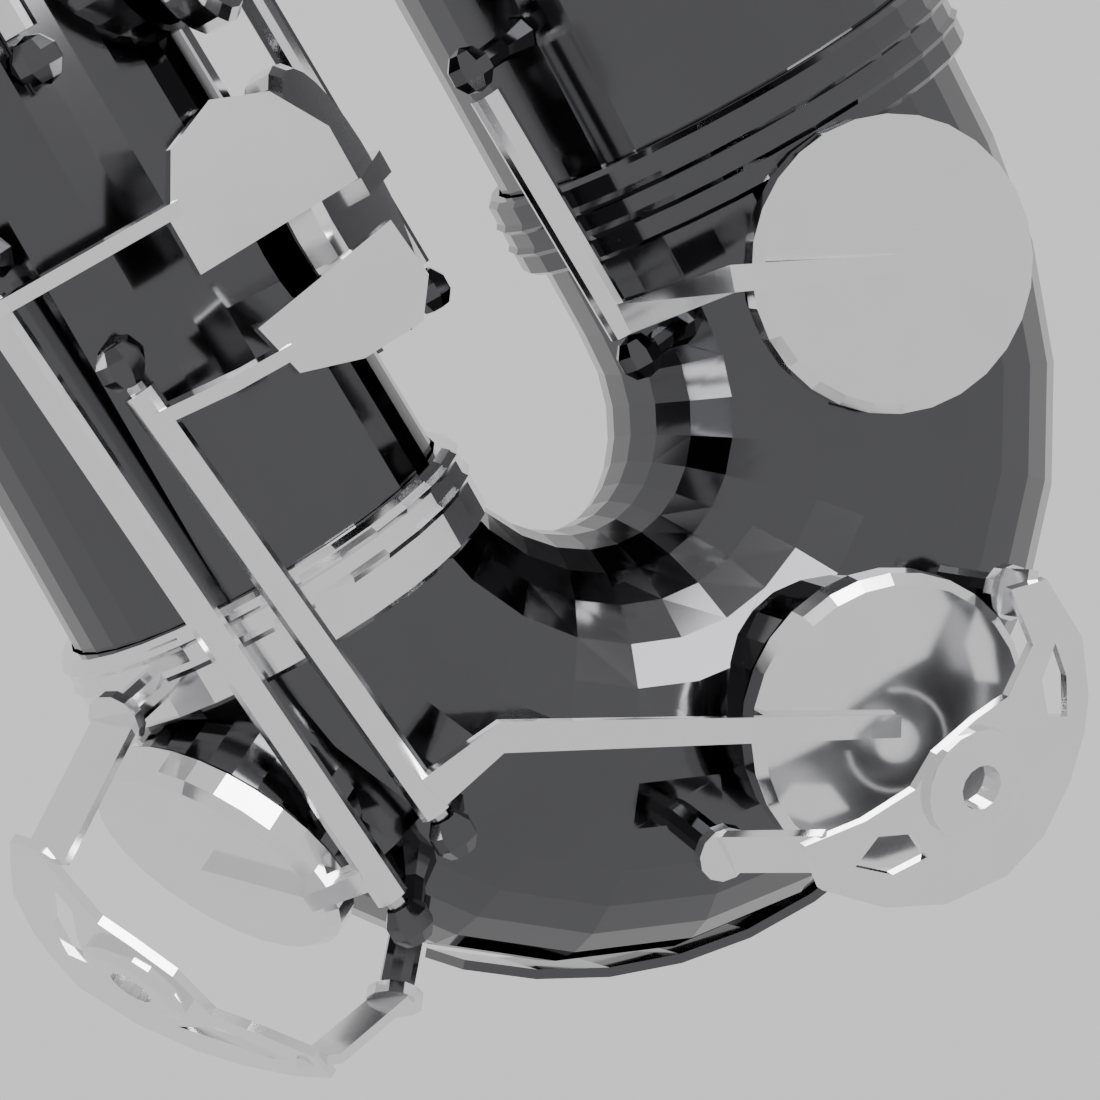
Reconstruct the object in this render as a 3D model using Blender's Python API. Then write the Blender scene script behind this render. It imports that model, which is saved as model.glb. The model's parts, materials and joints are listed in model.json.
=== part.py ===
import bmesh
import bpy
import math
from mathutils import Matrix, Vector

# Tenor saxophone. Sizes are millimetres and degrees, and metre turns them into scene units.
# The horn's own frame: +Z runs up the body tube, +X points from the body to the bell,
# +Y is the player's left, and z = 0 lies at the ring that joins the body to the bow.
metre = 0.001

fit = 0.3            # clearance between pieces that seat on one another
wall = 1.0           # sheet of the body, bow and bell

bodyLength = 575.0   # ring to the neck receiver
bodyBase = 30.7      # outer radius at the ring
bodyTop = 13.9       # outer radius at the receiver

bowWidth = 103.0     # body axis to bell axis
bowDepth = 55.9
bowMiddle = 34.6     # outer radius at the lowest point
bowEnd = 36.7        # outer radius where the bow leaves for the bell
bowRise = 20.5       # straight end of the bow, up to the bell ring

bellTop = 245.0
bellSlope = 0.045
bellFlare = 27.8
flareLength = 38.0
bellTilt = 2.5
bellSeat = 2.0       # the tilted bell starts this far above the bow's straight end
rimBead = 2.2

ringWall = 2.3
ringTop = 4.5
ringBottom = -8.0
bellRingHeight = 13.0

chimneyWall = 1.0
chimneyRise = 2.8    # tone hole rim above the crown of its tube
cupHeight = 5.6
cupLip = 3.6         # cup radius beyond the tone hole radius

tubeRadius = 2.5     # hinge tubes
rodRadius = 1.3      # steels inside them
boreRadius = 1.7
ballRadius = 3.6     # posts
shaftRadius = 1.9
endGap = 0.45        # hinge tube to post
plateThick = 1.5     # rib plates

armWidth = 4.6
armThick = 2.4
guardSheet = 1.4

neckRadius = 12.8
neckEnd = 6.3
neckBend = 62.0
neckAngle = 102.0
neckStraight = 34.0
corkLength = 44.0
corkWall = 1.5

strapHeight = 330.0
strapOut = 13.5
strapHole = 4.2
strapWire = 1.8


def wipe():
    for item in list(bpy.data.objects):
        bpy.data.objects.remove(item, do_unlink=True)
    for block in list(bpy.data.meshes):
        bpy.data.meshes.remove(block)
    for block in list(bpy.data.materials):
        bpy.data.materials.remove(block)


def polar(angle, radius, z=0.0):
    turn = math.radians(angle)
    return Vector((math.cos(turn) * radius, math.sin(turn) * radius, z))


# ---- the three tubes as functions of their length ----

def bodyRadius(z):
    return bodyBase + (bodyTop - bodyBase) * z / bodyLength


def onBody(angle, z, height=0.0):
    return polar(angle, bodyRadius(z) + height, z)


def bowRadius(turn):
    q = turn / 180.0
    start = bodyBase * (1 - q) * (1 - 2 * q)
    return start + 4 * bowMiddle * q * (1 - q) + bowEnd * q * (2 * q - 1)


def bowCentre(turn):
    t = math.radians(turn)
    return Vector((bowWidth / 2 * (1 - math.cos(t)), 0.0, -bowDepth * math.sin(t)))


def bellCentre(z):
    lean = math.tan(math.radians(bellTilt)) * max(0.0, z - bowRise)
    return Vector((bowWidth + lean, 0.0, z))


def bellRadius(z):
    flare = bellFlare * math.exp((z - bellTop) / flareLength)
    return bowEnd + bellSlope * max(0.0, z - bowRise) + flare


def onBell(angle, z, height=0.0):
    return bellCentre(z) + polar(angle, bellRadius(z) + height)


# ---- solids ----

def frameAt(point, along, side=None):
    w = Vector(along).normalized()
    guide = Vector(side) if side is not None else Vector((0.0, 0.0, 1.0))
    if abs(guide.normalized().dot(w)) > 0.95:
        guide = Vector((1.0, 0.0, 0.0))
    u = (guide - w * guide.dot(w)).normalized()
    v = w.cross(u)
    matrix = Matrix((u, v, w)).transposed().to_4x4()
    matrix.translation = Vector(point)
    return matrix


def loft(sections, sides):
    """One closed solid through circles; a section is (frame, x radius, y radius)."""
    bm = bmesh.new()
    first = sections[0][0] @ Matrix.Diagonal((sections[0][1], sections[0][2], 1.0, 1.0))
    bmesh.ops.create_circle(bm, cap_ends=True, radius=1.0, segments=sides, matrix=first)
    face = next(iter(bm.faces))
    before = first
    for frame, rx, ry in sections[1:]:
        after = frame @ Matrix.Diagonal((rx, ry, 1.0, 1.0))
        made = bmesh.ops.extrude_face_region(bm, geom=[face])
        bmesh.ops.transform(bm, matrix=after @ before.inverted(),
                            verts=[item for item in made["geom"] if isinstance(item, bmesh.types.BMVert)])
        if before is not first:
            # the last section's face would stay inside the solid
            bmesh.ops.delete(bm, geom=[face], context="FACES_ONLY")
        face = [item for item in made["geom"] if isinstance(item, bmesh.types.BMFace)][0]
        before = after
    bmesh.ops.recalc_face_normals(bm, faces=bm.faces)
    return bm


def turned(point, along, profile, sides=24):
    """A turned solid: the profile lists (distance along the axis, radius)."""
    frame = frameAt(point, along)
    return loft([(frame @ Matrix.Translation((0, 0, h)), r, r) for h, r in profile], sides)


def rodBetween(a, b, radius, sides=12):
    a = Vector(a)
    b = Vector(b)
    return turned(a, b - a, [(0.0, radius), ((b - a).length, radius)], sides)


def tangents(points):
    result = []
    for i, point in enumerate(points):
        ahead = points[min(i + 1, len(points) - 1)]
        behind = points[max(i - 1, 0)]
        result.append((ahead - behind).normalized())
    return result


def sweep(points, radii, sides, side=(0, 1, 0)):
    points = [Vector(p) for p in points]
    lines = tangents(points)
    return loft([(frameAt(p, t, side), r, r) for p, t, r in zip(points, lines, radii)], sides)


def bar(points, width, thick, face, taper=1.0):
    """A flat strip along the points; face is the direction its broad side looks to."""
    points = [Vector(p) for p in points]
    lines = tangents(points)
    root = math.sqrt(2.0)
    corner = Matrix.Rotation(math.radians(45), 4, "Z")
    sections = []
    for i, (point, line) in enumerate(zip(points, lines)):
        wide = width * (1 + (taper - 1) * i / (len(points) - 1))
        scale = Matrix.Diagonal((thick / root, wide / root, 1.0, 1.0))
        sections.append((frameAt(point, line, face) @ scale @ corner, 1.0, 1.0))
    return loft(sections, 4)


def plate(outline, point, along, thick, side=None):
    """A sheet with the given outline, its back at the point, rising along the normal."""
    frame = frameAt(point, along, side)
    bm = bmesh.new()
    face = bm.faces.new([bm.verts.new(frame @ Vector((x, y, 0.0))) for x, y in outline])
    made = bmesh.ops.extrude_face_region(bm, geom=[face])
    lift = (frame.to_3x3() @ Vector((0, 0, 1))) * thick
    bmesh.ops.translate(bm, vec=lift, verts=[v for v in made["geom"] if isinstance(v, bmesh.types.BMVert)])
    bmesh.ops.recalc_face_normals(bm, faces=bm.faces)
    return bm


def ball(point, radius=None, sides=8):
    bm = bmesh.new()
    bmesh.ops.create_uvsphere(bm, u_segments=sides, v_segments=5, radius=radius or ballRadius,
                              matrix=Matrix.Translation(Vector(point)))
    return bm


def post(foot, top, spread=0.0):
    """A post: a short shaft with a foot collar, and the ball that carries a rod."""
    foot = Vector(foot)
    top = Vector(top)
    long = (top - foot).length
    profile = [(0.0, shaftRadius + spread), (long * 0.45, shaftRadius), (long, shaftRadius * 0.9)]
    return [turned(foot, top - foot, profile, 8), ball(top)]


def patch(angles, heights, rise=None):
    """A plate that hugs the body tube between two angles and two heights."""
    a0, a1 = angles
    z0, z1 = heights
    rise = plateThick if rise is None else rise
    steps = max(2, int(abs(a1 - a0) / 9) + 1)
    sweepAngles = [a0 + (a1 - a0) * i / steps for i in range(steps + 1)]
    bm = bmesh.new()
    low = []
    for angle in sweepAngles:
        low.append(bm.verts.new(onBody(angle, z0, fit)))
    for angle in reversed(sweepAngles):
        low.append(bm.verts.new(onBody(angle, z0, fit + rise)))
    face = bm.faces.new(low)
    made = bmesh.ops.extrude_face_region(bm, geom=[face])
    for vert in made["geom"]:
        if isinstance(vert, bmesh.types.BMVert):
            grow = Vector((vert.co.x, vert.co.y, 0.0))
            grow.length += bodyRadius(z1) - bodyRadius(z0)
            vert.co = Vector((grow.x, grow.y, z1))
    bmesh.ops.recalc_face_normals(bm, faces=bm.faces)
    return bm


def temporary(bm, name):
    mesh = bpy.data.meshes.new(name)
    bm.to_mesh(mesh)
    bm.free()
    item = bpy.data.objects.new(name, mesh)
    bpy.context.scene.collection.objects.link(item)
    return item


def combine(base, others, operation="UNION"):
    """Boolean of one solid with several, returned as a new solid."""
    body = temporary(base, "base")
    items = [temporary(bm, "operand") for bm in others]
    for item in items:
        step = body.modifiers.new("join", "BOOLEAN")
        step.operation = operation
        step.solver = "EXACT"
        step.object = item
    graph = bpy.context.evaluated_depsgraph_get()
    graph.update()
    result = bpy.data.meshes.new_from_object(body.evaluated_get(graph))
    bm = bmesh.new()
    bm.from_mesh(result)
    bpy.data.meshes.remove(result)
    for item in items + [body]:
        mesh = item.data
        bpy.data.objects.remove(item, do_unlink=True)
        bpy.data.meshes.remove(mesh)
    bmesh.ops.remove_doubles(bm, verts=bm.verts, dist=0.0005)
    return bm


def join(shapes):
    return combine(shapes[0], shapes[1:])


def cut(base, cutters):
    return combine(base, cutters, "DIFFERENCE")


def rotated(bm, point, axis, degrees):
    matrix = Matrix.Rotation(math.radians(degrees), 3, Vector(axis))
    bmesh.ops.rotate(bm, cent=Vector(point), matrix=matrix, verts=bm.verts)
    return bm


# ---- materials ----

finishes = {
    "blackNickel": ((0.030, 0.031, 0.033, 1), 0.12, 1.0),
    "brightNickel": ((0.78, 0.78, 0.79, 1), 0.10, 1.0),
    "pearl": ((0.86, 0.85, 0.82, 1), 0.22, 0.0),
    "rollerBlack": ((0.012, 0.012, 0.013, 1), 0.15, 0.0),
    "ebonite": ((0.020, 0.020, 0.021, 1), 0.28, 0.0),
    "cork": ((0.52, 0.33, 0.17, 1), 0.80, 0.0),
    "cane": ((0.80, 0.66, 0.38, 1), 0.60, 0.0),
    "steel": ((0.55, 0.55, 0.56, 1), 0.22, 1.0),
}
materials = {}


def material(name):
    if name not in materials:
        colour, rough, metal = finishes[name]
        made = bpy.data.materials.new(name)
        made.use_nodes = True
        shader = made.node_tree.nodes["Principled BSDF"]
        shader.inputs["Base Color"].default_value = colour
        shader.inputs["Roughness"].default_value = rough
        shader.inputs["Metallic"].default_value = metal
        materials[name] = made
    return materials[name]


wipe()
strapEye = Vector((-bodyRadius(strapHeight) - strapOut, 0.0, strapHeight))
horn = bpy.data.objects.new("horn", None)
horn.location = -strapEye * metre
bpy.context.scene.collection.objects.link(horn)


def finish(name, bm, look, origin=(0.0, 0.0, 0.0)):
    """Writes a solid as a named object with its origin at the given point."""
    origin = Vector(origin)
    bmesh.ops.translate(bm, vec=-origin, verts=bm.verts)
    bmesh.ops.scale(bm, vec=(metre, metre, metre), verts=bm.verts)
    bmesh.ops.recalc_face_normals(bm, faces=bm.faces)
    mesh = bpy.data.meshes.new(name)
    bm.to_mesh(mesh)
    bm.free()
    mesh.shade_smooth()
    mesh.set_sharp_from_angle(angle=math.radians(32))
    mesh.materials.append(material(look))
    item = bpy.data.objects.new(name, mesh)
    item.location = origin * metre
    item.parent = horn
    bpy.context.scene.collection.objects.link(item)
    return item


# ---- tone holes: host, centre on the host's axis, direction, hole radius, rim distance ----

def bodyHole(z, angle, hole):
    return {"base": Vector((0, 0, z)), "out": polar(angle, 1.0), "hole": hole,
            "rim": bodyRadius(z) + chimneyRise}


def bellHole(z, angle, hole):
    return {"base": bellCentre(z), "out": polar(angle, 1.0), "hole": hole,
            "rim": bellRadius(z) + chimneyRise + 0.6}


stackAngle = -42.0
upperAngle = -36.0
sideAngle = -146.0
palmAngle = 62.0

bodyHoles = {
    "d": bodyHole(44, stackAngle, 17.5),
    "e": bodyHole(92, stackAngle, 15.4),
    "f": bodyHole(137, stackAngle, 14.4),
    "fSharp": bodyHole(178, stackAngle, 12.8),
    "gSharp": bodyHole(214, stackAngle, 10.8),
    "trill": bodyHole(150, -122, 5.4),
    "g": bodyHole(268, upperAngle, 10.4),
    "a": bodyHole(301, upperAngle, 9.6),
    "b": bodyHole(334, upperAngle, 7.8),
    "c": bodyHole(364, upperAngle, 7.2),
    "sideBb": bodyHole(318, sideAngle, 7.8),
    "sideC": bodyHole(362, sideAngle, 7.2),
    "highE": bodyHole(446, sideAngle, 6.2),
    "palmD": bodyHole(424, palmAngle, 6.0),
    "palmEb": bodyHole(462, palmAngle, 5.6),
    "palmF": bodyHole(502, palmAngle, 5.2),
    "octave": bodyHole(412, 150, 1.6),
}
bowHoles = {
    "ebLow": {"base": Vector((7.1, -2.0, -16.1)), "out": Vector((-0.92, -0.24, -0.30)).normalized(),
              "hole": 17.2, "rim": bowRadius(21) + chimneyRise + 3.5},
    "cLow": {"base": bowCentre(98), "out": Vector((-0.05, -0.98, -0.12)).normalized(),
             "hole": 18.8, "rim": bowRadius(98) + chimneyRise},
    "cSharpLow": {"base": bowCentre(175), "out": Vector((-0.20, -0.98, 0.0)).normalized(),
                  "hole": 18.6, "rim": bowRadius(175) + chimneyRise},
}
bellHoles = {
    "bLow": bellHole(80, -100, 23.0),
    "bbLow": bellHole(142, -100, 23.4),
}


def chimney(hole, inside=10.0, extra=0.0, lift=0.0):
    start = hole["base"] + hole["out"] * inside
    reach = hole["rim"] - inside + lift
    radius = hole["hole"] + chimneyWall + extra
    sides = 28 if hole["hole"] > 13 else (18 if hole["hole"] > 4 else 12)
    return turned(start, hole["out"], [(0.0, radius), (reach, radius)], sides)


def holeCutter(hole):
    sides = 28 if hole["hole"] > 13 else (18 if hole["hole"] > 4 else 12)
    return turned(hole["base"], hole["out"], [(0.0, hole["hole"]), (hole["rim"] + 6.0, hole["hole"])], sides)


def tubeWithHoles(outer, inner, holes):
    shell = combine(outer, [chimney(hole, min(10.0, hole["rim"] * 0.4)) for hole in holes])
    return cut(cut(shell, [inner]), [holeCutter(hole) for hole in holes])


# ---- body tube, bow and bell ----

def bodySolid(inset, low, high, steps=7, sides=36):
    points = [Vector((0, 0, low + (high - low) * i / steps)) for i in range(steps + 1)]
    return sweep(points, [bodyRadius(p.z) - inset for p in points], sides)


bodyOuter = bodySolid(0.0, 0.0, bodyLength)
bodyInner = bodySolid(wall, -5.0, bodyLength + 5.0)
finish("body_tube", tubeWithHoles(bodyOuter, bodyInner, list(bodyHoles.values())), "blackNickel")


def bowSolid(inset, extend=0.0, sides=30, steps=13):
    points = []
    radii = []
    points.append(Vector((0, 0, 2.0 + extend)))
    radii.append(bodyBase - inset)
    for i in range(steps + 1):
        turn = 4.0 + (180.0 - 4.0) * i / steps
        points.append(bowCentre(turn))
        radii.append(bowRadius(turn) - inset)
    points.append(Vector((bowWidth, 0, bowRise - fit + extend)))
    radii.append(bellRadius(bowRise) - inset)
    return sweep(points, radii, sides)


# ---- hinge lines: both ends of every rod, low end first ----

lines = {
    "ebLow": (Vector((-18.2, -33.5, -47.0)), Vector((-23.9, -29.7, 62.0))),
    "cLow": (Vector((-7.3, -37.2, -39.0)), Vector((-14.0, -35.3, 41.5))),
    "cSharpLow": (Vector((59.9, -22.6, 0.5)), Vector((57.8, -23.0, 50.0))),
    "bell": (Vector((46.0, -17.0, 63.0)), Vector((45.0, -17.0, 201.0))),
    "lower": (onBody(-5, 23, 13), onBody(-5, 232, 13)),
    "upper": (onBody(-78, 249, 9), onBody(-78, 386, 9)),
    "cSharpLever": (onBody(14, 32, 8), onBody(14, 288, 8)),
    "bLever": (onBody(27, 92, 8), onBody(27, 276, 8)),
    "bbLever": (onBody(40, 152, 8), onBody(40, 264, 8)),
    "gSharpLever": (onBody(53, 220, 8), onBody(53, 300, 8)),
    "trill": (onBody(-94, 82, 7), onBody(-94, 172, 7)),
    "sideBb": (onBody(-120, 181, 7), onBody(-120, 332, 7)),
    "sideC": (onBody(-106, 201, 7), onBody(-106, 376, 7)),
    "highE": (onBody(-91, 221, 7), onBody(-91, 458, 7)),
    "palmD": (onBody(96, 405, 7), onBody(96, 434, 7)),
    "palmEb": (onBody(96, 447, 7), onBody(96, 474, 7)),
    "palmF": (onBody(96, 487, 7), onBody(96, 514, 7)),
    "octave": (onBody(168, 366, 6), onBody(168, 420, 6)),
}


def along(name, z):
    low, high = lines[name]
    return low + (high - low) * (z - low.z) / (high.z - low.z)


def direction(name):
    low, high = lines[name]
    return (high - low).normalized()


def bore(name, ends=6.0):
    low, high = lines[name]
    line = direction(name) * ends
    return rodBetween(low - line, high + line, boreRadius, 10)


# ---- posts on the bow are soldered to it, like the feet of the two key guards ----

def bowFoot(point, turn):
    centre = bowCentre(turn)
    return centre + (Vector(point) - centre).normalized() * (bowRadius(turn) - 1.5)


def guardPost(top, turn):
    return rodBetween(bowFoot(top, turn), top, 2.6, 10)


guardFeet = {"cLeft": (Vector((24.5, -43.0, -62.3)), 66), "cRight": (Vector((82.8, -46.8, -54.8)), 122),
             "ebLow": (Vector((-22.0, -22.0, -58.0)), 40)}
bowFittings = [guardPost(top, turn) for top, turn in guardFeet.values()]
for name, turn in (("ebLow", 36), ("cLow", 34), ("cSharpLow", 178)):
    bowFittings.extend(post(bowFoot(lines[name][0], turn), lines[name][0], 1.6))
bow = combine(bowSolid(0.0), [chimney(hole, 12.0) for hole in bowHoles.values()] + bowFittings)
bow = cut(bow, [bowSolid(wall, 5.0)])
squareEnd = turned((0, 0, -fit), (0, 0, 1), [(0, bodyBase + 6.0), (12, bodyBase + 6.0)], 30)
bow = cut(bow, [squareEnd])
bow = cut(bow, [holeCutter(hole) for hole in bowHoles.values()] + [bore("ebLow"), bore("cLow")])
finish("bow", bow, "blackNickel")


def bellSolid(inset, low, high, sides=36):
    heights = [low] + [h for h in (60, 100, 140, 175, 200, 218, 230, 239) if h < high] + [high]
    points = [bellCentre(z) for z in heights]
    return sweep(points, [bellRadius(z) - inset for z in heights], sides)


bell = combine(bellSolid(0.0, bowRise + bellSeat, bellTop), [chimney(hole, 20.0) for hole in bellHoles.values()])
rim = bellCentre(bellTop)
bellWay = (rim - bellCentre(bellTop - 20)).normalized()
bead = turned(rim - bellWay * rimBead, bellWay,
              [(0.0, bellRadius(bellTop) - 2.0), (rimBead * 0.6, bellRadius(bellTop) + rimBead * 0.8),
               (rimBead * 1.4, bellRadius(bellTop) + rimBead * 0.8), (rimBead * 1.8, bellRadius(bellTop) + 0.6)], 36)
bell = combine(bell, [bead])
bell = cut(bell, [bellSolid(wall, bowRise - 3.0, bellTop + 4.0)])
bell = cut(bell, [holeCutter(hole) for hole in bellHoles.values()])
finish("bell", bell, "blackNickel")

# ---- rings that join the three tubes ----

def ring(centre, low, high, inner, thick, beads, sides=32):
    profile = [(low, inner + thick * 0.6), (low + 0.8, inner + thick)]
    for height in beads:
        profile += [(height - 0.8, inner + thick), (height, inner + thick + 0.6), (height + 0.8, inner + thick)]
    profile += [(high - 0.8, inner + thick), (high, inner + thick * 0.6)]
    outer = turned(centre, (0, 0, 1), profile, sides)
    return outer, turned(centre, (0, 0, 1), [(low - 2, inner), (high + 2, inner)], sides)


lugAngle = -148.0
lugReach = 9.0
outer, inner = ring(Vector((0, 0, 0)), ringBottom, ringTop, bodyBase + fit, ringWall, (-1.0, 2.6))
lug = rodBetween(polar(lugAngle, bodyBase + 1.5, -1.5), polar(lugAngle, bodyBase + ringWall + lugReach, -1.5), 2.6, 10)
ebSeat = chimney(bowHoles["ebLow"], 12.0, fit, fit)
finish("body_bow_ring", cut(join([outer, lug]), [inner, bowSolid(-fit), ebSeat]), "brightNickel")
outer, inner = ring(bellCentre(bowRise), -bellRingHeight / 2, bellRingHeight / 2,
                    bellRadius(bowRise + bellRingHeight / 2) + fit, ringWall, (-2.0, 2.0), 32)
finish("bow_bell_ring", cut(outer, [inner, bowSolid(-fit), bellSolid(-fit, bowRise, bellTop),
                            chimney(bowHoles["cSharpLow"], 12.0, fit, fit)]), "blackNickel")

# ---- neck receiver with its clamp, and the screw across it ----

receiverLow = 556.0
receiverHigh = 589.0
receiverWall = 2.6
clampOut = 12.0
clampHeight = 12.0
screwRadius = 1.9
receiverBore = bodyRadius(bodyLength) + fit
collar = turned(Vector((0, 0, receiverLow)), (0, 0, 1),
                [(0.0, receiverBore + 1.5), (2.0, receiverBore + receiverWall), (receiverHigh - receiverLow - 4, receiverBore + receiverWall),
                 (receiverHigh - receiverLow, receiverBore + receiverWall)], 28)
clampZ = receiverHigh - clampHeight / 2 - 1
lobe = bar([(-receiverBore - 0.8, 0, clampZ), (-receiverBore - clampOut, 0, clampZ)], clampHeight, 11.0, (0, 1, 0))
receiver = join([collar, lobe])
bores = [turned(Vector((0, 0, receiverLow - 2)), (0, 0, 1),
                [(0.0, bodyRadius(receiverLow) + fit), (receiverHigh - receiverLow + 4, bodyRadius(receiverLow) + fit)], 28),
         bar([(0, 0, clampZ), (-receiverBore - clampOut - 2, 0, clampZ)], clampHeight + 8, 1.2, (0, 1, 0)),
         rodBetween((-receiverBore - clampOut * 0.62, -20, clampZ), (-receiverBore - clampOut * 0.62, 20, clampZ), screwRadius + 0.3, 10)]
finish("neck_receiver", cut(receiver, bores), "blackNickel")
screwAt = Vector((-receiverBore - clampOut * 0.62, 0, clampZ))
finish("neck_screw", join([rodBetween(screwAt + Vector((0, -8, 0)), screwAt + Vector((0, 8, 0)), screwRadius, 10),
                           turned(screwAt + Vector((0, 5.9, 0)), (0, 1, 0), [(0, 3.4), (4, 3.4), (5, 2.6)], 12),
                           bar([screwAt + Vector((0, 9.5, -6)), screwAt + Vector((0, 9.5, 6))], 1.8, 5.0, (1, 0, 0))]),
       "brightNickel", screwAt)

# ---- neck, cork and mouthpiece ----

neckStart = bodyLength + fit
neckRise = 24.0
neckPoints = [Vector((0, 0, neckStart)), Vector((0, 0, neckStart + neckRise))]
for i in range(1, 11):
    turn = math.radians(neckAngle * i / 10)
    neckPoints.append(Vector((-neckBend * (1 - math.cos(turn)), 0, neckStart + neckRise + neckBend * math.sin(turn))))
neckWay = (neckPoints[-1] - neckPoints[-2]).normalized()
neckPoints.append(neckPoints[-1] + neckWay * (neckStraight + corkLength))
neckRadii = [neckRadius + (neckEnd - neckRadius) * i / (len(neckPoints) - 1) for i in range(len(neckPoints))]
neck = sweep(neckPoints, neckRadii, 20)
hollow = [neckPoints[0] - Vector((0, 0, 4))] + neckPoints[1:-1] + [neckPoints[-1] + neckWay * 4]
finish("neck", cut(neck, [sweep(hollow, [r - wall for r in neckRadii], 20)]), "blackNickel")
corkStart = neckPoints[-1] - neckWay * corkLength
corkInner = neckRadii[-2] + fit
finish("neck_cork", cut(turned(corkStart, neckWay, [(0, corkInner + corkWall), (corkLength, corkInner + corkWall)], 20),
                        [turned(corkStart - neckWay * 2, neckWay, [(0, corkInner), (corkLength + 4, corkInner)], 20)]), "cork")
mouthLength = 88.0
mouthSeat = 18.0
mouthStart = neckPoints[-1] - neckWay * mouthSeat
mouthBore = corkInner + corkWall + fit
mouthFrame = frameAt(mouthStart, neckWay, (0, 1, 0))
mouthShape = [(0, 11.6, 11.6), (6, 12.4, 12.4), (46, 13.0, 13.0), (66, 12.0, 9.5), (mouthLength, 9.0, 2.6)]
mouthpiece = loft([(mouthFrame @ Matrix.Translation((0, 0, h)), a, b) for h, a, b in mouthShape], 24)
finish("mouthpiece", cut(mouthpiece, [turned(mouthStart - neckWay * 2, neckWay, [(0, mouthBore), (mouthSeat + 12, mouthBore)], 20)]),
       "ebonite")

# ---- keys ----


def cup(hole):
    radius = hole["hole"] + cupLip
    return turned(hole["base"] + hole["out"] * (hole["rim"] + fit), hole["out"],
                  [(0, radius - 0.5), (0.5, radius), (cupHeight - 1.4, radius), (cupHeight, radius - 1.5)],
                  28 if radius > 15 else 18)


def cupTop(hole, lift=0.0):
    return hole["base"] + hole["out"] * (hole["rim"] + fit + cupHeight + lift)


def key(name, line, span, closed, hole, opening=0.0, fixed=(), bored=False):
    """One key: hinge tube, cup and arms soldered into one piece, turned to its resting place."""
    low, high = lines[line]
    origin = along(line, (span[0] + span[1]) / 2)
    axis = direction(line)
    sign = 1.0 if axis.cross(cupTop(hole) - origin).dot(hole["out"]) > 0 else -1.0
    for bm in closed:
        rotated(bm, origin, axis, sign * opening)
    shape = join([rodBetween(along(line, span[0]), along(line, span[1]), tubeRadius, 12)] + list(closed) + list(fixed))
    if bored:
        shape = cut(shape, [bore(line)])
    finish(name, shape, "brightNickel", origin)
    hinges[name] = (origin, axis, sign, opening)


def armTo(hole, line, at, lift=0.6):
    start = along(line, at)
    top = cupTop(hole, lift)
    way = start - top
    way -= hole["out"] * way.dot(hole["out"])
    edge = top + way.normalized() * (hole["hole"] + cupLip) * 0.9
    return bar([start, edge, top], armWidth, armThick, hole["out"], 0.6)


hinges = {}
stackSpans = {"d": (27, 76), "e": (77, 115), "f": (124, 158), "fSharp": (159, 195), "gSharp": (196, 227)}
restOpen = {"d": 7.0, "e": 7.0, "f": 7.0, "fSharp": 7.0, "gSharp": 0.0}
for name, span in stackSpans.items():
    hole = bodyHoles[name]
    key(name + "_key", "lower", span, [cup(hole), armTo(hole, "lower", hole["base"].z)], hole, restOpen[name], (), True)
upperSpans = {"g": (254, 284), "a": (285, 317), "b": (318, 349), "c": (350, 381)}
for name, span in upperSpans.items():
    hole = bodyHoles[name]
    key(name + "_key", "upper", span, [cup(hole), armTo(hole, "upper", hole["base"].z)], hole, 7.0, (), True)
for name, line in (("trill", "trill"), ("sideBb", "sideBb"), ("sideC", "sideC"), ("highE", "highE")):
    hole = bodyHoles[name]
    low, high = lines[line]
    key(name + "_key", line, (low.z + 4.2, high.z - 4.2), [cup(hole), armTo(hole, line, hole["base"].z)], hole)
for name in ("palmD", "palmEb", "palmF"):
    hole = bodyHoles[name]
    low, high = lines[name]
    key(name + "_key", name, (low.z + 4.2, high.z - 4.2), [cup(hole), armTo(hole, name, hole["base"].z)], hole)

hole = bowHoles["ebLow"]
key("low_eb_key", "ebLow", (-42.5, 57.5), [cup(hole), armTo(hole, "ebLow", -38)], hole, 0.0,
    [bar([along("ebLow", 56), (-24, -42, 57), (0, -49, 57)], 5.0, 2.0, (0, 0, 1)),
     plate([(-13, -6), (13, -6), (13, 2), (8, 10), (0, 13), (-8, 10), (-13, 2)], (10.3, -48.5, 54), (0, -1, 0), 2.0, (1, 0, 0))], True)
hole = bowHoles["cLow"]
key("low_c_key", "cLow", (-34.8, 37.3), [cup(hole), bar([along("cLow", -32), (3.6, -46.5, -28), cupTop(hole, 0.6)],
    5.5, armThick, (0, -1, 0), 0.6)], hole, 6.0,
    [bar([along("cLow", 33), (-4, -46, 33), (4, -49, 33)], 5.0, 2.0, (0, 0, 1)),
     plate([(-11, 3), (-9, -5), (0, -8), (10, -8), (14, -3), (13, 6)], (11.5, -48.5, 35), (0, -1, 0), 2.0, (1, 0, 0))], True)
hole = bowHoles["cSharpLow"]
key("low_c_sharp_key", "cSharpLow", (4.7, 45.8), [cup(hole), bar([along("cSharpLow", 7), (69, -44, 7), cupTop(hole, 0.6)],
    5.0, armThick, (0, -1, 0), 0.6)], hole)

# ---- posts on the body, rods, strap ring, bow guard ----


def ribWith(name, line, angles, posts, angle):
    low, high = lines[line]
    shapes = [patch(angles, (low.z - 4, high.z + 4))]
    for z in posts:
        shapes += post(onBody(angle, z, fit + 0.7), along(line, z), 0.8)
    shape = join(shapes)
    if line in ("lower", "upper"):
        shape = cut(shape, [bore(line)])
    near = {"lower": list(stackSpans), "sideBb": ["sideBb"]}.get(line, [])
    if near:
        shape = cut(shape, [chimney(bodyHoles[one], 10.0, fit, fit) for one in near])
    finish(name, shape, "blackNickel")


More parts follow.
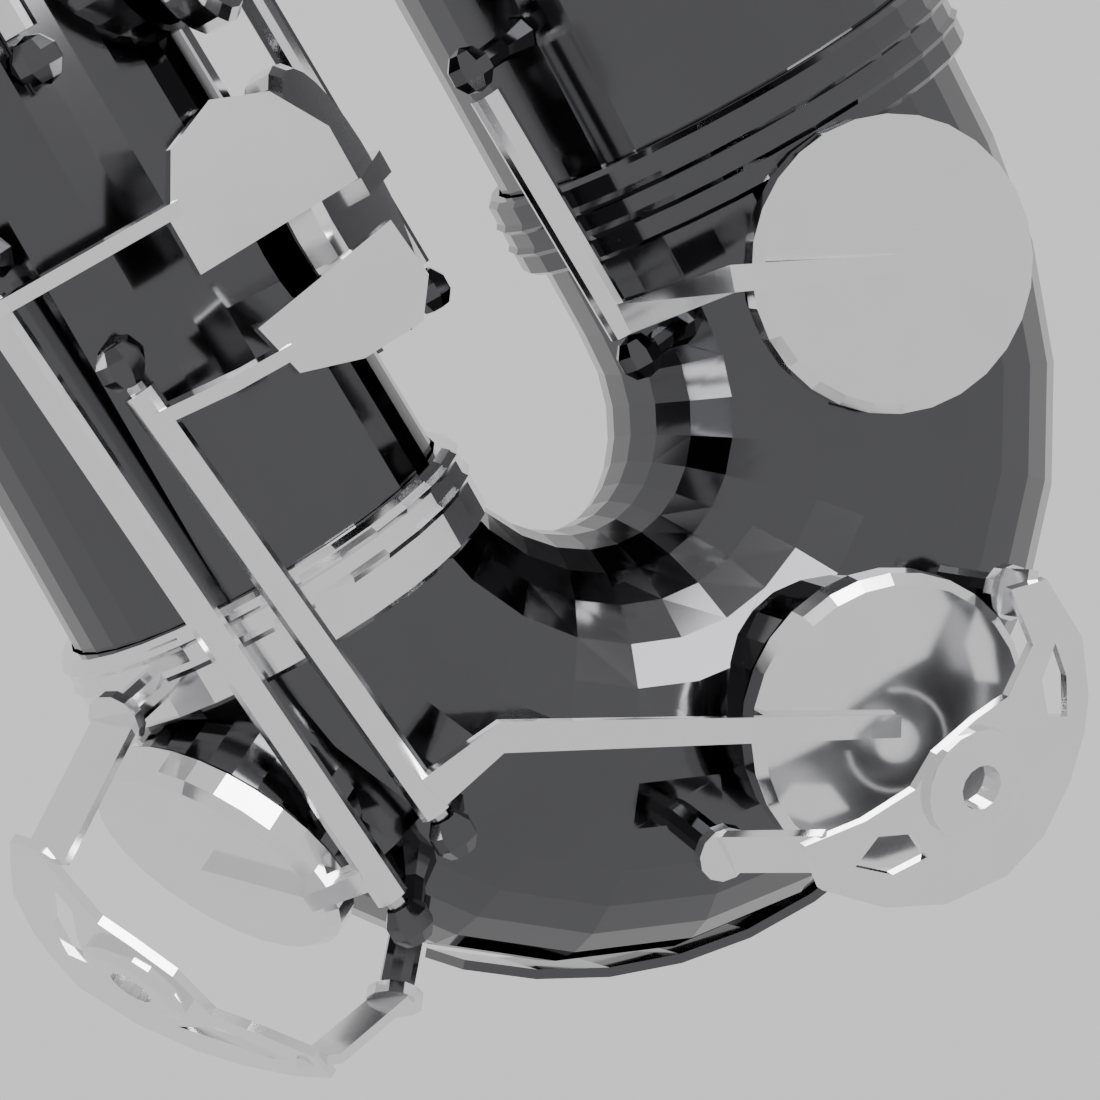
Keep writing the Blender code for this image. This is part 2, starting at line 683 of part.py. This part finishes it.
for name, line, angle, posts in (("lower_stack_rib", "lower", -5, (23, 119.5, 232)), ("upper_stack_rib", "upper", -78, (249, 386)),
                                 ("trill_rib", "trill", -94, (82, 172)), ("side_bb_rib", "sideBb", -120, (181, 332)),
                                 ("side_c_rib", "sideC", -106, (201, 376)), ("high_e_rib", "highE", -91, (221, 458)),
                                 ("palm_d_rib", "palmD", 96, (405, 434)), ("palm_eb_rib", "palmEb", 96, (447, 474)),
                                 ("palm_f_rib", "palmF", 96, (487, 514))):
    ribWith(name, line, (angle - 2.5, angle + (7 if line == "lower" else 4)), posts, angle)
for name in ("ebLow", "cLow"):
    top = lines[name][1]
    angle = math.degrees(math.atan2(top.y, top.x))
    foot = onBody(angle, top.z, fit)
    shape = join(post(foot, top, 1.4))
    finish({"ebLow": "eb_upper_post", "cLow": "c_upper_post"}[name], cut(shape, [bodySolid(-fit, top.z - 15, top.z + 15, 2), bore(name)]),
           "blackNickel")
for name, title in (("lower", "lower_stack_rod"), ("upper", "upper_stack_rod"), ("ebLow", "eb_rod"), ("cLow", "c_rod")):
    low, high = lines[name]
    step = direction(name) * 3.0
    finish(title, rodBetween(low - step, high + step, rodRadius, 8), "steel")
top = lines["cSharpLow"][1]
way = (top - bellCentre(top.z)).normalized()
finish("c_sharp_upper_post", cut(join(post(bellCentre(top.z) + way * (bellRadius(top.z) - 1), top, 1.4)),
                                 [bellSolid(-fit, bowRise, bellTop)]), "blackNickel")
strapPad = patch((170, 190), (strapHeight - 9, strapHeight + 9))
strapRing = loft([(frameAt(strapEye + Vector((0, side, 0)), (0, 1, 0)), strapHole + strapWire * 2, strapHole + strapWire * 2)
                  for side in (-strapWire, strapWire)], 20)
stalk = rodBetween((-bodyRadius(strapHeight) - fit - 0.7, 0, strapHeight), strapEye, 2.4, 10)
strapBore = rodBetween(strapEye - Vector((0, 8, 0)), strapEye + Vector((0, 8, 0)), strapHole, 16)
finish("strap_ring", cut(join([strapPad, stalk, strapRing]), [strapBore]), "brightNickel")

# ---- pierced key guards: a crescent sheet with leaf windows, a bumper boss and two feet ----

guards = {
    "c_guard": {
        "at": Vector((56.5, -60.0, -70.0)), "out": Vector((-0.05, -0.96, -0.27)), "side": (1, 0, 0),
        "outline": [(-28, 0), (-20, -9), (-10.7, -15), (0, -17.3), (8, -15.3), (15, -10), (20, -4), (22.5, 1),
                    (24.5, 10), (22, 22), (16, 24), (16.5, 14), (10, 9), (4, 9), (-4, 8), (-9, 5), (-18, 5.5), (-28, 8)],
        "windows": [[(-22, 0), (-17, -5), (-11, -6), (-12, -1), (-17, 2)], [(15, 2), (18, 0), (20, 6), (20, 12), (16, 8)]],
        "feet": [((-24, 4), "cLeft", 66), ((19, 21), "cRight", 122)]},
    "eb_guard": {
        "at": Vector((-51.0, -20.0, -34.0)), "out": Vector((-0.93, -0.20, -0.30)), "side": (0.21, -0.98, 0),
        "outline": [(8, 30), (0, 25), (-9, 19), (-17, 10), (-20, 5), (-23, -3), (-18, -12), (-9, -18), (0, -21),
                    (12, -23), (22, -23), (24, -18), (14, -12), (8, -9), (10, 0), (8, 7), (6, 12), (10, 22), (13, 28)],
        "windows": [[(-8, 12), (-14, 5), (-11, 3), (-5, 9), (3, 15), (5, 21)], [(-6, -12), (2, -15), (12, -19), (16, -19), (6, -12)]],
        "feet": [((10, 25), "ring", 0), ((22, -20), "ebLow", 37)]},
}
bossRadius = 8.5
bossHole = 3.4
for name, guard in guards.items():
    frame = frameAt(guard["at"], guard["out"], guard["side"])
    sheet = plate(guard["outline"], guard["at"], guard["out"], guardSheet, guard["side"])
    windows = [plate(w, guard["at"] - guard["out"] * 3, guard["out"], 8.0, guard["side"]) for w in guard["windows"]]
    shapes = [cut(sheet, windows), turned(guard["at"], guard["out"], [(-0.4, bossRadius - 1), (0.4, bossRadius), (2.6, bossRadius), (3.4, bossRadius - 2)], 20)]
    cutters = [turned(guard["at"] - guard["out"] * 4, guard["out"], [(0, bossHole), (12, bossHole)], 14)]
    for (x, y), foot, turn in guard["feet"]:
        if foot == "ring":
            base = polar(lugAngle, bodyBase + 1.5, -1.5)
            top = polar(lugAngle, bodyBase + ringWall + lugReach, -1.5)
        else:
            top = guardFeet[foot][0]
            base = bowFoot(top, turn)
        way = (top - base).normalized()
        seat = top + way * (fit + guardSheet / 2)
        shapes.append(bar([frame @ Vector((x, y, guardSheet / 2)), seat], 7.0, guardSheet, way))
        shapes.append(turned(top + way * fit, way, [(0, 4.2), (guardSheet + 0.4, 4.2)], 12))
        cutters.append(rodBetween(base, top + way * fit, 2.6 + fit, 10))
    finish(name, cut(join(shapes), cutters), "brightNickel")

guardWidth = 15.0
bowPlate = []
for i in range(9):
    turn = 48.0 + (112.0 - 48.0) * i / 8
    centre = bowCentre(turn)
    t = math.radians(turn)
    outward = Vector((-math.cos(t) * bowDepth, 0, -math.sin(t) * bowWidth / 2)).normalized()
    bowPlate.append(centre + outward * (bowRadius(turn) + fit + plateThick / 2 + 0.3))
finish("bow_guard", bar(bowPlate, plateThick, guardWidth, (0, 1, 0)), "blackNickel")
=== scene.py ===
import json
import math
import bpy
from mathutils import Matrix, Vector

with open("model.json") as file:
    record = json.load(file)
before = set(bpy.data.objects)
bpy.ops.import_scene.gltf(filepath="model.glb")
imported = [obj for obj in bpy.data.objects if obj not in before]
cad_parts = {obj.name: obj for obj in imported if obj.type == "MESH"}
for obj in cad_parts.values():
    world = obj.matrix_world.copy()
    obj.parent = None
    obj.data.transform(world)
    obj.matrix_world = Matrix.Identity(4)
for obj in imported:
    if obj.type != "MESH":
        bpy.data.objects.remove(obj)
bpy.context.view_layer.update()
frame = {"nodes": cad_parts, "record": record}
scene = bpy.context.scene
print("frame loaded")

# the horn's own frame lies this far from the strap ring's eye, in metres
hornShift = Vector((0.03456, 0.0, -0.330))

# camera: side on, turned a little to the player's back, rolled to the photo's slant
view = {"place": (-0.13386, -0.44850, 0.09079), "turn": -21.3, "rise": 13.2, "roll": -29.2, "lens": 104.0}
turn, rise, roll = (math.radians(view[key]) for key in ("turn", "rise", "roll"))
back = Vector((math.sin(turn) * math.cos(rise), -math.cos(turn) * math.cos(rise), math.sin(rise)))
level = Vector((math.cos(turn), math.sin(turn), 0))
upright = back.cross(level)
right = level * math.cos(roll) + upright * math.sin(roll)
up = upright * math.cos(roll) - level * math.sin(roll)
camera = bpy.data.objects.new("camera", bpy.data.cameras.new("camera"))
camera.matrix_world = Matrix((right, up, back)).transposed().to_4x4()
camera.location = Vector(view["place"]) + hornShift
camera.data.lens = view["lens"]
camera.data.clip_start = 0.01
scene.collection.objects.link(camera)
scene.camera = camera
print("camera set")


def makeMaterial(name, look):
    made = bpy.data.materials.new(name)
    made.use_nodes = True
    nodes, links = made.node_tree.nodes, made.node_tree.links
    shader = nodes["Principled BSDF"]
    coords = nodes.new("ShaderNodeTexCoord")
    noise = nodes.new("ShaderNodeTexNoise")
    noise.inputs["Scale"].default_value = look["grain"]
    noise.inputs["Detail"].default_value = 4
    links.new(coords.outputs["Object"], noise.inputs["Vector"])
    rough = nodes.new("ShaderNodeMapRange")
    rough.inputs["To Min"].default_value = look["rough"] * 0.8
    rough.inputs["To Max"].default_value = look["rough"] * 1.25
    links.new(noise.outputs["Fac"], rough.inputs["Value"])
    links.new(rough.outputs["Result"], shader.inputs["Roughness"])
    ramp = nodes.new("ShaderNodeValToRGB")
    ramp.color_ramp.elements[0].color = [c * 0.93 for c in look["colour"]] + [1]
    ramp.color_ramp.elements[1].color = list(look["colour"]) + [1]
    links.new(noise.outputs["Fac"], ramp.inputs["Fac"])
    links.new(ramp.outputs["Color"], shader.inputs["Base Color"])
    bump = nodes.new("ShaderNodeBump")
    bump.inputs["Strength"].default_value = look["bump"]
    bump.inputs["Distance"].default_value = 0.0002
    links.new(noise.outputs["Fac"], bump.inputs["Height"])
    links.new(bump.outputs["Normal"], shader.inputs["Normal"])
    shader.inputs["Metallic"].default_value = look["metal"]
    return made


looks = {
    "blackNickel": {"colour": (0.10, 0.10, 0.105), "rough": 0.09, "metal": 1.0, "bump": 0.01, "grain": 60},
    "brightNickel": {"colour": (0.80, 0.80, 0.81), "rough": 0.12, "metal": 1.0, "bump": 0.01, "grain": 90},
    "steel": {"colour": (0.55, 0.55, 0.56), "rough": 0.22, "metal": 1.0, "bump": 0.02, "grain": 200},
    "ebonite": {"colour": (0.02, 0.02, 0.021), "rough": 0.28, "metal": 0.0, "bump": 0.03, "grain": 150},
    "cork": {"colour": (0.42, 0.24, 0.11), "rough": 0.8, "metal": 0.0, "bump": 0.5, "grain": 700}}
materials = {name: makeMaterial(name, look) for name, look in looks.items()}
slots = {part["node"]: part["material_slot"] for part in frame["record"]["subparts"]}
for node, piece in frame["nodes"].items():
    for place in piece.material_slots:
        place.material = materials[slots[node]]
print("materials assigned")


world = bpy.data.worlds.new("studio")
world.use_nodes = True
world.node_tree.nodes["Background"].inputs["Color"].default_value = (1, 1, 1, 1)
world.node_tree.nodes["Background"].inputs["Strength"].default_value = 0.9
scene.world = world
light = bpy.data.objects.new("softbox", bpy.data.lights.new("softbox", "AREA"))
light.data.size = 0.6
light.data.energy = 12
light.location = Vector((0.35, -0.7, 0.4)) + hornShift
light.rotation_euler = (Vector((0.05, 0, 0)) + hornShift - light.location).to_track_quat("-Z", "Y").to_euler()
scene.collection.objects.link(light)
print("light staged")
